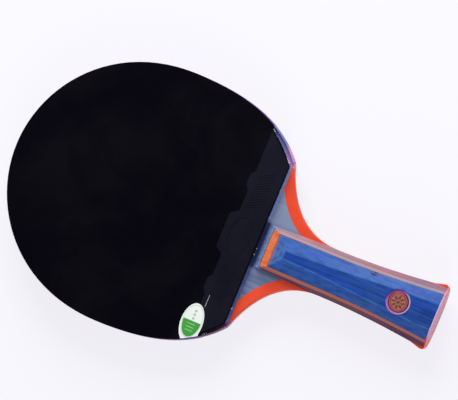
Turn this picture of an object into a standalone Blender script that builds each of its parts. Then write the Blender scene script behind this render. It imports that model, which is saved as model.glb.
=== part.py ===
"""Table tennis racket with a flared, laminated handle.

A five-ply blade with its tang, a moulded frame that edges the shoulders and the handle, a sponge and a
topsheet on each face, edge tape, two three-layer handle scales, a round badge and an oval label.

Lengths are in metres. Stations are distances along the racket from the tip of the head, and heights are
distances from the middle plane of the blade. The racket lies with its blade level, its front face up and
its handle along +X, and the world origin is under the middle of its length.
"""

import math

import bmesh
import bpy
from mathutils import Matrix, Vector
from mathutils.geometry import interpolate_bezier

# Clearance kept wherever one piece is glued to, or lies in, another
GAP = 0.0003

# Head outline, outside the edge tape: a curve from the tip by the widest point to the corner
HEAD_WIDTH = 0.1505
HEAD_LENGTH = 0.1502
WIDEST_STATION = 0.0798
CORNER_WIDTH = 0.0988
CORNER_ANGLE = math.radians(50.6)
TIP_HANDLE = 0.0375
FORE_HANDLE = 0.0498
AFT_HANDLE = 0.0336
CORNER_HANDLE = 0.0238

# Wing, the hollow curve from the corner to the waist of the handle
WING_LENGTH = 0.0402
WING_ANGLE = math.radians(71.0)
WING_HANDLE = 0.0225
WAIST_HANDLE = 0.0202
WAIST_WIDTH = 0.0281

# Handle outline behind the waist, and the ears that stop the hand at the butt
HANDLE_LENGTH = 0.1066
BUTT_WIDTH = 0.0380
FLARE_POWER = 1.9
EAR_LENGTH = 0.0070
EAR_RISE = 0.0008
EAR_RADIUS = 0.0026

# Blade plies, from the middle outwards
CORE_THICKNESS = 0.0026
INNER_PLY_THICKNESS = 0.0006
OUTER_PLY_THICKNESS = 0.0006

# Frame round the tang
FRAME_BAND = 0.0061
FRAME_BEAD = 0.0004
CAP_THICKNESS = 0.0014
END_WALL = 0.0027

# Rubbers, whose straight edges lie across the racket just before the corners
SPONGE_THICKNESS = 0.0020
TOPSHEET_THICKNESS = 0.0014
SPONGE_SETBACK = 0.0002
SPONGE_EDGE_SLOPE = 0.0011
TOPSHEET_STEP = 0.0003

# Edge tape
TAPE_THICKNESS = 0.0003
TAPE_WIDTH = 0.0100

# Handle scales: three layers, each with sloping sides and a sloping front
THROAT_GAP = 0.0012
BASE_THICKNESS = 0.0028
VENEER_THICKNESS = 0.0017
TOP_THICKNESS = 0.0025
BASE_FRONT_SLOPE = 0.0023
VENEER_FRONT_SLOPE = 0.0047
TOP_FRONT_SLOPE = 0.0067
BASE_FRONT_WIDTH = 0.0258
FLARE_SIDE_POWER = 1.85
BASE_SIDE_SLOPES = (0.0009, 0.0015, 0.0028)
VENEER_SIDE_SLOPES = (0.00225, 0.0020, 0.00175)
FLAT_FRONT_WIDTH = 0.0050
FLAT_BUTT_WIDTH = 0.0148
FLAT_LAG = 0.12

# Badge, in a round recess of the front scale
BADGE_DIAMETER = 0.0142
BADGE_FROM_BUTT = 0.0228
BADGE_RECESS = 0.0015
BADGE_PROUD = 0.0003
BADGE_RIM = 0.0013
BADGE_SINK = 0.0003

# Oval label on the front topsheet, whose outer end is trimmed along the rim
LABEL_LENGTH = 0.0229
LABEL_WIDTH = 0.0128
LABEL_THICKNESS = 0.00015
LABEL_FROM_CORNER = 0.0191
LABEL_FROM_RIM = 0.0091
LABEL_TRIM_MARGIN = 0.0003
LABEL_TURN = math.radians(1.1)

# Points along the curves
HEAD_STEPS = 24
SHOULDER_STEPS = 16
WING_STEPS = 14
FLARE_STEPS = 14
EAR_STEPS = 8
SCALE_STEPS = 20
ROUND_STEPS = 48

# Edges that turn more than this are drawn sharp
SHARP_ANGLE = math.radians(15)

# Places that follow from the sizes above
CORNER_STATION = HEAD_LENGTH
WAIST_STATION = CORNER_STATION + WING_LENGTH
GRIP_STATION = CORNER_STATION + THROAT_GAP
BUTT_STATION = GRIP_STATION + HANDLE_LENGTH
FRAME_STATION = CORNER_STATION - GAP
SHOULDER_STATION = FRAME_STATION - GAP
TANG_STATION = BUTT_STATION - END_WALL - GAP
CAP_STATION = BUTT_STATION - CAP_THICKNESS
SCALE_END_STATION = CAP_STATION - GAP

INNER_PLY_HEIGHT = CORE_THICKNESS / 2 + GAP
OUTER_PLY_HEIGHT = INNER_PLY_HEIGHT + INNER_PLY_THICKNESS + GAP
FACE_HEIGHT = OUTER_PLY_HEIGHT + OUTER_PLY_THICKNESS
SPONGE_HEIGHT = FACE_HEIGHT + GAP
TOPSHEET_HEIGHT = SPONGE_HEIGHT + SPONGE_THICKNESS + GAP
RUBBER_HEIGHT = TOPSHEET_HEIGHT + TOPSHEET_THICKNESS
BASE_HEIGHT = FACE_HEIGHT + GAP
VENEER_HEIGHT = BASE_HEIGHT + BASE_THICKNESS + GAP
TOP_HEIGHT = VENEER_HEIGHT + VENEER_THICKNESS + GAP
HANDLE_HEIGHT = TOP_HEIGHT + TOP_THICKNESS

# Colour, roughness and metallic value of each material
FINISHES = {
    "core_wood": ((0.62, 0.45, 0.27), 0.6, 0.0),
    "dyed_ply": ((0.16, 0.24, 0.38), 0.5, 0.0),
    "orange_plastic": ((0.80, 0.10, 0.04), 0.3, 0.0),
    "blue_sponge": ((0.05, 0.10, 0.38), 0.9, 0.0),
    "black_rubber": ((0.004, 0.004, 0.007), 0.6, 0.0),
    "red_rubber": ((0.55, 0.01, 0.015), 0.5, 0.0),
    "purple_tape": ((0.22, 0.10, 0.42), 0.4, 0.0),
    "plum_wood": ((0.20, 0.09, 0.17), 0.4, 0.0),
    "orange_wood": ((0.78, 0.19, 0.05), 0.4, 0.0),
    "blue_wood": ((0.03, 0.10, 0.42), 0.3, 0.0),
    "pink_metal": ((0.75, 0.25, 0.55), 0.25, 1.0),
    "gold_metal": ((0.62, 0.33, 0.12), 0.35, 1.0),
    "label_vinyl": ((0.10, 0.45, 0.12), 0.35, 0.0),
}


def clear_scene():
    for item in list(bpy.data.objects):
        bpy.data.objects.remove(item, do_unlink=True)


def material(name):
    """The Principled material of this finish, made once."""
    if name in bpy.data.materials:
        return bpy.data.materials[name]
    colour, roughness, metallic = FINISHES[name]
    made = bpy.data.materials.new(name)
    made.use_nodes = True
    made.diffuse_color = (*colour, 1.0)
    shader = made.node_tree.nodes["Principled BSDF"]
    shader.inputs["Base Color"].default_value = (*colour, 1.0)
    shader.inputs["Roughness"].default_value = roughness
    shader.inputs["Metallic"].default_value = metallic
    return made


def add_piece(name, mesh, finish, parent):
    piece = bpy.data.objects.new(name, mesh)
    bpy.context.scene.collection.objects.link(piece)
    piece.parent = parent
    if not mesh.materials:
        mesh.materials.append(material(finish))
    return piece


def turned_copy(piece, name, finish=None):
    """A copy of a front piece on the rear face: half a turn about the racket's long axis."""
    mesh = piece.data
    if finish:
        mesh = mesh.copy()
        mesh.materials[0] = material(finish)
    copy = add_piece(name, mesh, finish, piece.parent)
    copy.rotation_euler.x = math.pi
    return copy


def finish_mesh(name, shape):
    """Turns a bmesh into a mesh whose faces point outwards, smooth round its curves."""
    bmesh.ops.recalc_face_normals(shape, faces=shape.faces)
    mesh = bpy.data.meshes.new(name)
    shape.to_mesh(mesh)
    shape.free()
    mesh.shade_smooth()
    mesh.set_sharp_from_angle(angle=SHARP_ANGLE)
    return mesh


def loft(name, first_loop, second_loop):
    """A closed solid between two loops of 3-D points, matched point by point."""
    shape = bmesh.new()
    face = shape.faces.new([shape.verts.new(point) for point in first_loop])
    far_face = bmesh.ops.extrude_face_region(shape, geom=[face], use_keep_orig=True)
    far_verts = [item for item in far_face["geom"] if isinstance(item, bmesh.types.BMVert)]
    for vert, point in zip(far_verts, second_loop):
        vert.co = point
    return finish_mesh(name, shape)


def at_height(outline, height):
    return [Vector((point.x, point.y, height)) for point in outline]


def slab(name, low_outline, low_height, high_outline, high_height):
    return loft(name, at_height(low_outline, low_height), at_height(high_outline, high_height))


def curve(start, start_handle, end_handle, end, steps):
    """Points on the Bezier curve between two knots, whose handles are given as offsets from them."""
    points = interpolate_bezier(start, start + start_handle, end + end_handle, end, steps + 1)
    return [Vector((point.x, point.y)) for point in points]


def inset(side, distance):
    """The +Y side of an outline, moved towards the inside. A point on the centre line stays on it."""
    moved = []
    for index, point in enumerate(side):
        along = side[min(index + 1, len(side) - 1)] - side[max(index - 1, 0)]
        if point.y == 0:
            along = Vector((0.0, 1.0))
        along.normalize()
        moved.append(point + distance * Vector((along.y, -along.x)))
    return moved


def point_at(side, station):
    """The point of the side at this station, or on its last stretch carried on to the station."""
    index = next((i for i, point in enumerate(side) if i and point.x >= station), len(side) - 1)
    start, end = side[index - 1], side[index]
    return start + (end - start) * ((station - start.x) / (end.x - start.x))


def before(side, station):
    """The stretch of the side from its start to this station."""
    return [point for point in side if point.x < station] + [point_at(side, station)]


def behind(side, station):
    """The stretch of the side from this station to its end."""
    return [point_at(side, station)] + [point for point in side if point.x > station]


def mirrored(side):
    """The -Y side, in reverse order, without the points on the centre line."""
    return [Vector((point.x, -point.y)) for point in reversed(side) if point.y > 0]


def both_sides(side):
    return side + mirrored(side)


def head_side():
    """From the tip, by the widest point, to the corner."""
    tip = Vector((0.0, 0.0))
    widest = Vector((WIDEST_STATION, HEAD_WIDTH / 2))
    corner = Vector((CORNER_STATION, CORNER_WIDTH / 2))
    slope = Vector((-math.cos(CORNER_ANGLE), math.sin(CORNER_ANGLE)))
    fore = curve(tip, Vector((0.0, TIP_HANDLE)), Vector((-FORE_HANDLE, 0.0)), widest, HEAD_STEPS)
    aft = curve(widest, Vector((AFT_HANDLE, 0.0)), CORNER_HANDLE * slope, corner, SHOULDER_STEPS)
    fore[0] = tip
    return fore + aft[1:]


def wing_side():
    """From the corner to the waist."""
    corner = Vector((CORNER_STATION, CORNER_WIDTH / 2))
    waist = Vector((WAIST_STATION, WAIST_WIDTH / 2))
    slope = Vector((math.cos(WING_ANGLE), -math.sin(WING_ANGLE)))
    return curve(corner, WING_HANDLE * slope, Vector((-WAIST_HANDLE, 0.0)), waist, WING_STEPS)


def handle_half_width(station):
    """Half the width of the handle outline behind the waist, without the ears."""
    share = (station - WAIST_STATION) / (BUTT_STATION - WAIST_STATION)
    return WAIST_WIDTH / 2 + (BUTT_WIDTH - WAIST_WIDTH) / 2 * share**FLARE_POWER


def smooth_step(share):
    share = min(max(share, 0.0), 1.0)
    return share * share * (3 - 2 * share)


def flare_side():
    """From the waist to the butt: the flare, the rise to the ear and the ear's rounded end."""
    ear_station = BUTT_STATION - EAR_RADIUS
    rise_station = ear_station - EAR_LENGTH
    side = []
    for index in range(FLARE_STEPS):
        station = WAIST_STATION + (rise_station - WAIST_STATION) * index / FLARE_STEPS
        side.append(Vector((station, handle_half_width(station))))
    for index in range(EAR_STEPS + 1):
        share = index / EAR_STEPS
        station = rise_station + EAR_LENGTH * share
        side.append(Vector((station, handle_half_width(station) + EAR_RISE * smooth_step(share))))
    centre = side[-1] - Vector((0.0, EAR_RADIUS))
    for index in range(1, EAR_STEPS + 1):
        angle = math.pi / 2 * (1 - index / EAR_STEPS)
        side.append(centre + EAR_RADIUS * Vector((math.cos(angle), math.sin(angle))))
    return side


def blade_side():
    """Head, shoulder, the neck inside the frame, and the tang."""
    head = before(inset(head_side(), TAPE_THICKNESS + GAP), SHOULDER_STATION)
    neck = behind(inset(wing_side(), FRAME_BAND + GAP), SHOULDER_STATION)
    return head + neck + [Vector((TANG_STATION, neck[-1].y))]


def blade_plies(racket):
    outline = both_sides(blade_side())
    half_core = CORE_THICKNESS / 2
    core = slab("blade_core", outline, -half_core, outline, half_core)
    add_piece("blade_core", core, "core_wood", racket)
    layers = (
        ("inner_ply", INNER_PLY_HEIGHT, INNER_PLY_THICKNESS, "core_wood"),
        ("outer_ply", OUTER_PLY_HEIGHT, OUTER_PLY_THICKNESS, "dyed_ply"),
    )
    for layer, height, thickness, finish in layers:
        mesh = slab(layer, outline, height, outline, height + thickness)
        ply = add_piece("front_" + layer, mesh, finish, racket)
        turned_copy(ply, "rear_" + layer)


def rubber_side(edge_station):
    return before(inset(head_side(), TAPE_THICKNESS + GAP), edge_station)


def rubbers(racket):
    """A sponge with a sloping straight edge and a topsheet on each face."""
    foot = CORNER_STATION - SPONGE_SETBACK
    lip = foot - SPONGE_EDGE_SLOPE
    lip_side = rubber_side(lip)
    foot_side = lip_side[:-1] + [point_at(lip_side, foot)]
    sponge_top = SPONGE_HEIGHT + SPONGE_THICKNESS
    mesh = slab("sponge", both_sides(foot_side), SPONGE_HEIGHT, both_sides(lip_side), sponge_top)
    sponge = add_piece("front_sponge", mesh, "blue_sponge", racket)
    turned_copy(sponge, "rear_sponge")
    outline = both_sides(rubber_side(lip - TOPSHEET_STEP))
    mesh = slab("topsheet", outline, TOPSHEET_HEIGHT, outline, RUBBER_HEIGHT)
    topsheet = add_piece("front_topsheet", mesh, "black_rubber", racket)
    turned_copy(topsheet, "rear_topsheet", "red_rubber")


def edge_tape(racket):
    """A band round the head from corner to corner."""
    outside = before(head_side(), SHOULDER_STATION)
    inside = before(inset(head_side(), TAPE_THICKNESS), SHOULDER_STATION)
    outline = mirrored(outside) + outside + list(reversed(inside)) + list(reversed(mirrored(inside)))
    mesh = slab("edge_tape", outline, -TAPE_WIDTH / 2, outline, TAPE_WIDTH / 2)
    add_piece("edge_tape", mesh, "purple_tape", racket)


def side_slope(slopes, station):
    """A slope's width across the racket at a station, from its widths at the front, waist and butt."""
    at_front, at_waist, at_butt = slopes
    if station < WAIST_STATION:
        share = (WAIST_STATION - station) / (WAIST_STATION - GRIP_STATION)
        return at_waist + (at_front - at_waist) * share**2
    share = (station - WAIST_STATION) / (BUTT_STATION - WAIST_STATION)
    return at_waist + (at_butt - at_waist) * share**FLARE_SIDE_POWER


def base_half_width(station):
    """Half the width of a scale at its foot: inside the frame's bead, and narrower towards the front."""
    if station >= WAIST_STATION:
        return handle_half_width(station) - FRAME_BEAD
    share = (WAIST_STATION - station) / (WAIST_STATION - GRIP_STATION)
    at_waist = WAIST_WIDTH / 2 - FRAME_BEAD
    return at_waist + (BASE_FRONT_WIDTH / 2 - at_waist) * share**2


def veneer_half_width(station):
    return base_half_width(station) - side_slope(BASE_SIDE_SLOPES, station)


def top_half_width(station):
    return veneer_half_width(station) - side_slope(VENEER_SIDE_SLOPES, station)


def flat_half_width(station):
    """Half the width of the scale's flat crown, which stays narrow, then widens, then runs straight."""
    share = (station - GRIP_STATION) / (BUTT_STATION - GRIP_STATION)
    growth = smooth_step((share - FLAT_LAG) / (1 - FLAT_LAG))
    return (FLAT_FRONT_WIDTH + (FLAT_BUTT_WIDTH - FLAT_FRONT_WIDTH) * growth) / 2


def scale_outline(half_width, front_station):
    side = []
    for index in range(SCALE_STEPS + 1):
        station = front_station + (SCALE_END_STATION - front_station) * index / SCALE_STEPS
        side.append(Vector((station, half_width(station))))
    return both_sides(side)


def badge_centre():
    return Vector((BUTT_STATION - BADGE_FROM_BUTT, 0.0, 0.0))


def disc(name, radius, low_height, high_height):
    shape = bmesh.new()
    depth = high_height - low_height
    bmesh.ops.create_cone(
        shape, cap_ends=True, segments=ROUND_STEPS, radius1=radius, radius2=radius, depth=depth
    )
    middle = Vector((0.0, 0.0, (low_height + high_height) / 2))
    bmesh.ops.translate(shape, verts=shape.verts, vec=badge_centre() + middle)
    return finish_mesh(name, shape)


def ring(name, inner_radius, outer_radius, low_height, high_height):
    """A ring whose rectangular section is spun about the badge's centre."""
    shape = bmesh.new()
    corners = (
        (inner_radius, low_height),
        (outer_radius, low_height),
        (outer_radius, high_height),
        (inner_radius, high_height),
    )
    verts = [shape.verts.new((radius, 0.0, height)) for radius, height in corners]
    edges = [shape.edges.new((verts[i - 1], verts[i])) for i in range(len(verts))]
    bmesh.ops.spin(
        shape,
        geom=verts + edges,
        cent=(0.0, 0.0, 0.0),
        axis=(0.0, 0.0, 1.0),
        angle=2 * math.pi,
        steps=ROUND_STEPS,
        use_merge=True,
    )
    bmesh.ops.translate(shape, verts=shape.verts, vec=badge_centre())
    return finish_mesh(name, shape)


def helper(name, mesh, parent):
    """A solid that only shapes another piece, hidden from the render."""
    made = add_piece(name, mesh, "core_wood", parent)
    made.hide_render = True
    made.display_type = "WIRE"
    return made


def shape_with(piece, other, operation):
    modifier = piece.modifiers.new(other.name, "BOOLEAN")
    modifier.operation = operation
    modifier.object = other


def handle_scales(racket):
    """Base, veneer and top on each face; the front top has the recess for the badge."""
    foot = scale_outline(base_half_width, GRIP_STATION)
    veneer_front = GRIP_STATION + BASE_FRONT_SLOPE
    veneer_foot = scale_outline(veneer_half_width, veneer_front)
    top_front = veneer_front + VENEER_FRONT_SLOPE
    top_foot = scale_outline(top_half_width, top_front)
    crown = scale_outline(flat_half_width, top_front + TOP_FRONT_SLOPE)
    layers = (
        ("base", foot, BASE_HEIGHT, veneer_foot, BASE_THICKNESS, "plum_wood"),
        ("veneer", veneer_foot, VENEER_HEIGHT, top_foot, VENEER_THICKNESS, "orange_wood"),
        ("top", top_foot, TOP_HEIGHT, crown, TOP_THICKNESS, "blue_wood"),
    )
    for layer, low_outline, height, high_outline, thickness, finish in layers:
        mesh = slab("scale_" + layer, low_outline, height, high_outline, height + thickness)
        piece = add_piece("front_scale_" + layer, mesh, finish, racket)
        turned_copy(piece, "rear_scale_" + layer)
    recess_floor = HANDLE_HEIGHT - BADGE_RECESS
    mesh = disc("recess", BADGE_DIAMETER / 2 + GAP, recess_floor, HANDLE_HEIGHT + BADGE_DIAMETER)
    shape_with(bpy.data.objects["front_scale_top"], helper("badge_recess", mesh, racket), "DIFFERENCE")


def badge(racket):
    foot = HANDLE_HEIGHT - BADGE_RECESS + GAP
    rim_top = HANDLE_HEIGHT + BADGE_PROUD
    bore = BADGE_DIAMETER / 2 - BADGE_RIM
    mesh = ring("badge_ring", bore, BADGE_DIAMETER / 2, foot, rim_top)
    add_piece("badge_ring", mesh, "pink_metal", racket)
    mesh = disc("badge_disc", bore - GAP, foot, rim_top - BADGE_SINK)
    add_piece("badge_disc", mesh, "gold_metal", racket)


def butt_section(station):
    """The outline of the handle's end across the racket, through the edges of the scales' layers."""
    quarter = (
        (base_half_width(station), BASE_HEIGHT),
        (veneer_half_width(station), VENEER_HEIGHT - GAP / 2),
        (top_half_width(station), TOP_HEIGHT - GAP / 2),
        (flat_half_width(station), HANDLE_HEIGHT),
    )
    upper = [Vector((station, y, z)) for y, z in quarter]
    upper += [Vector((station, -y, z)) for y, z in reversed(quarter)]
    return upper + [Vector((point.x, point.y, -point.z)) for point in reversed(upper)]


def grip_frame(racket):
    """Wings along the shoulders, rails beside the tang, ears, and a cap over the ends of the scales."""
    outside = behind(head_side(), FRAME_STATION) + wing_side()[1:] + flare_side()[1:]
    inside = behind(inset(wing_side(), FRAME_BAND), FRAME_STATION)
    inside.append(Vector((TANG_STATION + GAP, inside[-1].y)))
    outline = outside + mirrored(outside) + list(reversed(mirrored(inside))) + list(reversed(inside))
    mesh = slab("grip_frame", outline, -FACE_HEIGHT, outline, FACE_HEIGHT)
    frame = add_piece("grip_frame", mesh, "orange_plastic", racket)
    mesh = loft("cap_plate", butt_section(CAP_STATION), butt_section(BUTT_STATION))
    cap_plate = helper("cap_plate", mesh, racket)
    end_outline = both_sides(behind(flare_side(), CAP_STATION - EAR_RADIUS))
    mesh = slab("ear_rounding", end_outline, -2 * HANDLE_HEIGHT, end_outline, 2 * HANDLE_HEIGHT)
    shape_with(cap_plate, helper("ear_rounding", mesh, racket), "INTERSECT")
    shape_with(frame, cap_plate, "UNION")


def oval_label(racket):
    """Near the rim on the -Y side, its long axis nearly across the racket."""
    station = CORNER_STATION - LABEL_FROM_CORNER
    rim = point_at(inset(head_side(), TAPE_THICKNESS + GAP), station).y
    centre = Vector((station, LABEL_FROM_RIM - rim))
    outline = []
    for index in range(ROUND_STEPS):
        angle = 2 * math.pi * index / ROUND_STEPS
        point = Vector((LABEL_WIDTH / 2 * math.cos(angle), LABEL_LENGTH / 2 * math.sin(angle)))
        point.rotate(Matrix.Rotation(LABEL_TURN, 2))
        outline.append(centre + point)
    foot = RUBBER_HEIGHT + GAP
    mesh = slab("oval_label", outline, foot, outline, foot + LABEL_THICKNESS)
    label = add_piece("oval_label", mesh, "label_vinyl", racket)
    trim_outline = both_sides(inset(head_side(), TAPE_THICKNESS + GAP + LABEL_TRIM_MARGIN))
    mesh = slab("label_trim", trim_outline, 0.0, trim_outline, 2 * foot)
    shape_with(label, helper("label_trim", mesh, racket), "INTERSECT")


def main():
    clear_scene()
    racket = bpy.data.objects.new("racket", None)
    bpy.context.scene.collection.objects.link(racket)
    racket.location = (-BUTT_STATION / 2, 0.0, HANDLE_HEIGHT)
    blade_plies(racket)
    rubbers(racket)
    edge_tape(racket)
    grip_frame(racket)
    handle_scales(racket)
    badge(racket)
    oval_label(racket)


main()
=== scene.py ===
"""The looks of a table tennis racket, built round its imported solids.

The racket lies level, with its front face up and its handle along +X. Lengths are in metres. A
station is a distance along the racket from the tip of the head.
"""

import math

import bmesh
import bpy
from mathutils import Matrix, Vector
from mathutils.bvhtree import BVHTree


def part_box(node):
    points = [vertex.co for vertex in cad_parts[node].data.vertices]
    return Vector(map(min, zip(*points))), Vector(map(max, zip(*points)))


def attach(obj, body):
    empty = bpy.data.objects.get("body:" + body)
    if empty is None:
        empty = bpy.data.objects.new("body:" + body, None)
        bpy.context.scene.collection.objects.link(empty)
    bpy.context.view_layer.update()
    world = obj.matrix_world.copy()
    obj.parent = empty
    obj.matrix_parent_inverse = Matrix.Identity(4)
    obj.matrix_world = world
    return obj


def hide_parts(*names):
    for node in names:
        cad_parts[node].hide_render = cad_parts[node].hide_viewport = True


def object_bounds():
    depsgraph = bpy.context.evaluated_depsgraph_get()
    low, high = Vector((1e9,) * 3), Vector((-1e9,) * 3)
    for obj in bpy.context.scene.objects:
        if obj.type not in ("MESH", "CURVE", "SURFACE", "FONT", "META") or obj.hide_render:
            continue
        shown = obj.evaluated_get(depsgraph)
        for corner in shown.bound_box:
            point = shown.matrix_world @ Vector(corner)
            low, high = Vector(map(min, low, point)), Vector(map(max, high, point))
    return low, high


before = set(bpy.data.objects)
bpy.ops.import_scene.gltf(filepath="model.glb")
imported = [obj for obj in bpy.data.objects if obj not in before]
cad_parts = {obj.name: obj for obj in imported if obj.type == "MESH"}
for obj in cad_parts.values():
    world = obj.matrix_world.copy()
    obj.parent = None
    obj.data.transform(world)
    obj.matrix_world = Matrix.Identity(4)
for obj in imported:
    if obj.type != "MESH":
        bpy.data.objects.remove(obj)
cad_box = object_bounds()


def centre_of(node):
    return sum(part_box(node), Vector()) / 2


# Places that the solids give, and the gap between them where glue goes
TIP = cad_box[0].x
FLOOR = cad_box[0].z
MIDDLE = centre_of("blade_core").z
HEAD_CENTRE = centre_of("front_topsheet")
GLUE_GAP = 0.0003

# How near two corners count as one place, and are merged, and how deep a piece is set into the
# one that it is glued to
NEAR = 1e-5
MERGED = 1e-6
SEAT = 0.00002

# Faces that meet at less than the first angle are merged, and edges past the second look sharp
FLAT_ANGLE = math.radians(0.05)
SHARP_ANGLE = math.radians(25)

# Rubbers: a sheet with pips under it, of which only those near the rim can be seen
SHEET_THICKNESS = 0.0009
SHEET_ROUNDING = 0.00015
RIM_SPREAD = 0.00055
PIP_SPACING = 0.0021
PIP_RADIUS = 0.0008
PIP_MARGIN = 0.0002
PIP_REACH = 0.0058

# Each rubber is trimmed back beside both corners: where that starts and is full, its depth there
# and at the corner, for the side at +Y and the side at -Y
UPPER_TRIM = (0.1308, 0.1330, 0.0022, 0.0029)
LOWER_TRIM = (0.1378, 0.1400, 0.0010, 0.0016)
CORNER_STATION = 0.1486
CORNER_ZONE = 0.1280
CORNER_CUTS = 5

# Pale crumbs at the foot of the front rubber, painted glints in the look of dried glue: station,
# distance across, height, radius
GLINT_CRUMBS = (
    (0.13190, 0.06270, 0.0056, 0.00060),
    (0.13290, 0.06190, 0.0056, 0.00045),
    (0.14570, 0.05030, 0.0062, 0.00040),
    (0.14660, 0.04940, 0.0064, 0.00045),
    (0.14730, 0.04870, 0.0064, 0.00055),
    (0.14860, 0.03230, 0.0068, 0.00030),
    (0.14860, 0.01590, 0.0068, 0.00032),
    (0.14885, -0.00280, 0.0056, 0.00040),
    (0.14885, -0.00640, 0.0056, 0.00045),
    (0.14895, -0.03940, 0.0062, 0.00052),
    (0.13880, -0.05920, 0.0050, 0.00038),
    (0.13990, -0.05835, 0.0050, 0.00044),
    (0.14080, -0.05760, 0.0049, 0.00032),
)

# Pale thread on the foot of the front rubber, a painted highlight in the look of dried glue: where
# its middle is and how large it is
GLINT_THREAD = (0.1347, -0.0408, 0.00725)
GLINT_THREAD_SIZE = (0.00022, 0.0072, 0.0002)

# Purple that runs over the tip of each wing from the tape: its side, its reach and its colour
# The upper one is paler as painted light, and the lower one darker as painted shade
TIP_STATION = 0.1506
TIP_ACROSS = 0.0485
TIP_PURPLES_LIT_AND_SHADED = ((1, 0.0018, (214, 150, 176)), (-1, 0.0028, (126, 76, 120)))

# Band moulded into the foot of each sheet, and its tongues: centre, half width and length of each
BAND_STATION = 0.1318
BAND_MARGIN = 0.0007
BAND_RELIEF = 0.00012
BAND_TONGUES = ((0.0, 0.0118, 0.0046), (0.0315, 0.0045, 0.0022), (-0.0315, 0.0045, 0.0022))
BAND_FLANK = 0.0035
BAND_CUTS = 90
BAND_TRIM_START = 0.004
BAND_SHORTEST_EDGE = 0.0003

# Ribs on each half of the band, the first one's distance across, and the oval of small pyramids
# between them, with the ring round it
RELIEF = 0.0002
RIB_COUNT = 13
RIB_STATION = 0.1388
RIB_START = 0.0185
RIB_SPACING = 0.0016
RIB_SIZE = (0.0092, 0.0006, 2 * RELIEF)
RIB_SLANT = math.radians(28)
KNURL_STATION = 0.1372
KNURL_SPACING = 0.0013
KNURL_HALF_AXES = (0.0047, 0.0098)
KNURL_RADII = (0.0006, 0.0002)
KNURL_RING_HALF_AXES = (0.0062, 0.0114)

# The frame's bead, which the base of each scale is sanded flush with, where that starts and is
# full, and how far the base draws back where the ears show beside it
BEAD = 0.0004
BEAD_STATIONS = (0.1720, 0.1904)
EAR_SHOW = 0.0010
EAR_SHOW_STATIONS = (0.2495, 0.2540)

# Knots in the blue wood: station, distance across, half length and half width
KNOTS = ((0.2162, 0.0090, 0.0022, 0.0007), (0.2170, 0.0104, 0.0007, 0.0008))
KNOT_HEIGHT = 0.0098

# A scale is rounded along its crown, where the slopes meet it at less than the first angle, and
# along the corners between two slopes, which are sharper than the second
CROWN_ANGLE = math.radians(60)
CORNER_ANGLE = math.radians(15)

# Roundings: the frame's is widest round its wings, narrows to the rails beside the scales, and
# is least at the wing's tip and at the ear
WING_ROUNDING = 0.0013
RAIL_ROUNDING = 0.0004
LEAST_ROUNDING = 0.00002
WING_TIP_STATIONS = (0.1500, 0.1540)
WING_STATIONS = (0.1640, 0.1800)
EAR_STATIONS = (0.2540, 0.2564)
ROUNDING_ROWS = 5
CAP_ROUNDING = 0.00035
SCALE_ROUNDING = 0.0004
TAPE_ROUNDING = 0.0001

# How much thinner the cap is than its solid, and how far from the middle its rim is rounded
CAP_THINNING = 0.0008
CAP_SHOULDER = 0.0063

# Badge: how much wider than the ring its recess is, the ring's groove, and the disc's rosette
RECESS_MARGIN = 0.00008
GROOVE_EDGE = 0.0004
GROOVE_DEPTH = 0.00018
RING_ROUNDING = 0.00015
DISC_ROUNDING = 0.0002
ROSETTE_RADIUS = 0.0045
ROSETTE_RING_THICKNESS = 0.00016
PETAL_COUNT = 8
PETAL_PLACE = 0.0027
PETAL_SIZE = (0.0013, 0.00075, 0.0002)
BUTTON_SIZE = (0.0010, 0.0010, 0.00025)

# Label: how near its edge has to be to the rim to follow the sheet's, its rounding, and how far
# the printed oval stays from its sides and from its far end
LABEL_MARGIN = 0.0004
LABEL_ROUNDING = 0.00006
PRINT_SIDE_MARGIN = 0.00105
PRINT_END_MARGIN = 0.0015
PRINT_HALF_LENGTH = 0.0092
DOT_RADIUS = 0.0008
DOT_PLACES = (0.20, 0.44, 0.68)

# The photographer's view: its tilt towards the butt, its turn, its scale and where it looks
VIEW_TILT = math.radians(8.0)
VIEW_TURN = math.radians(22.6)
VIEW_METRES_PER_PIXEL = 0.0005628
VIEW_PIXELS_ACROSS = 458
VIEW_DISTANCE = 8.0
VIEW_TARGET = Vector((-0.0060, 0.0164, MIDDLE))

WHITE = (0.956, 0.947, 1.0)
FLOOR_SHADE = 0.93
FLOOR_SIZE = 6.0
ROOM_LIGHT = 0.25
SOFTBOX_SIZE = 0.9
SOFTBOX_DISTANCE = 1.3
UPPER_POWER = 26.0
LOWER_POWER = 7.7


def between(value, start, end):
    """A soft share that is nought up to the start and one from the end on."""
    share = min(max((value - start) / (end - start), 0.0), 1.0)
    return share * share * (3 - 2 * share)


def paint(red, green, blue):
    """The linear colour of a colour that is given as a screen shows it, from 0 to 255."""
    shares = [value / 255 for value in (red, green, blue)]
    return tuple(c / 12.92 if c <= 0.04045 else ((c + 0.055) / 1.055) ** 2.4 for c in shares)


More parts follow.
